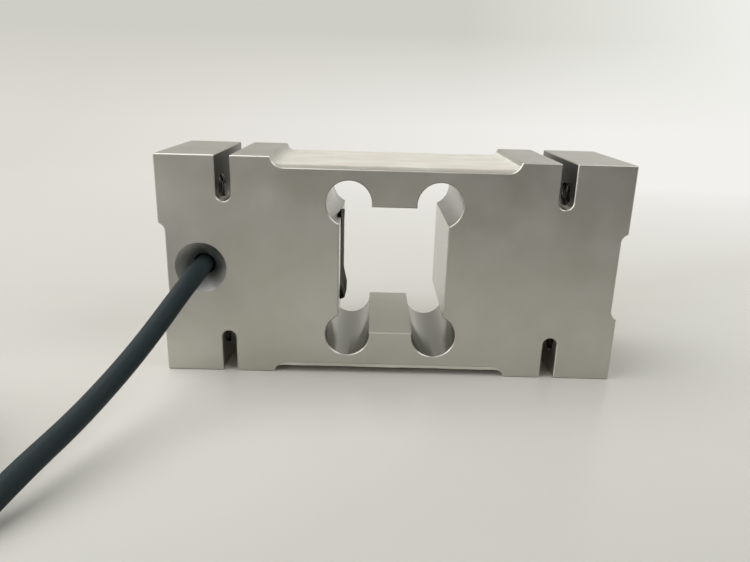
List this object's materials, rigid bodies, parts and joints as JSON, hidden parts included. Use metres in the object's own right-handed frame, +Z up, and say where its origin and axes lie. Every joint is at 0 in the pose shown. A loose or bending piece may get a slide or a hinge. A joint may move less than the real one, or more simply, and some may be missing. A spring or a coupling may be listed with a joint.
{
  "type": "single point load cell",
  "caption": "Single point load cell: a milled aluminium beam with a bored flexure window, sealed strain gauges, tapped end pads and a coiled cable with bared cores.",
  "frame": {"origin": "middle of the beam's underside, without the free cable", "axes": "+X along the beam, from the end with the cable entry to the other, +Y from the front face with the cable entry to the back, +Z up"},
  "size_m": [0.2693, 0.1597, 0.0725],
  "materials": {
    "machined_aluminium": "milled and vibratory-finished satin aluminium",
    "sealing_silicone": "cream sealing silicone, brushed on",
    "gauge_film": "polyimide film with etched foil",
    "circuit_board": "glass-epoxy board with solder mask",
    "chip_resistor": "chip resistors with tinned caps",
    "enamelled_wire": "enamelled copper wire",
    "black_compound": "black sealing compound",
    "cable_jacket": "matt black extruded jacket",
    "core_red": "insulated core",
    "core_black": "insulated core",
    "core_green": "insulated core",
    "core_white": "insulated core",
    "tinned_copper": "tinned strands",
    "shrink_sleeve": "heat-shrink sleeve",
    "nylon_tie": "moulded natural nylon"
  },
  "bodies": {
    "root": {"load_cell_body": "machined_aluminium", "sealing_coat_top": "sealing_silicone", "sealing_coat_bottom": "sealing_silicone", "strain_gauge_top_left": "gauge_film", "strain_gauge_top_right": "gauge_film", "strain_gauge_bottom_left": "gauge_film", "strain_gauge_bottom_right": "gauge_film", "solder_strip_top": "circuit_board", "solder_strip_bottom": "circuit_board", "trim_board": "circuit_board", "trim_resistors": "chip_resistor", "gauge_wires_top": "enamelled_wire", "gauge_wires_bottom": "enamelled_wire", "riser_wires_top": "enamelled_wire", "riser_wires_bottom": "enamelled_wire", "pocket_compound": "black_compound", "entry_seal": "black_compound", "inner_core_red": "core_red", "inner_core_black": "core_black", "inner_core_green": "core_green", "inner_core_white": "core_white", "core_red": "core_red", "core_black": "core_black", "core_green": "core_green", "core_white": "core_white", "drain_wire": "tinned_copper", "tinned_tips": "tinned_copper", "end_sleeve": "shrink_sleeve", "cable_run": "cable_jacket", "cable_tail": "cable_jacket", "cable_coil": "cable_jacket", "coil_tie": "nylon_tie"}
  },
  "joints": []
}
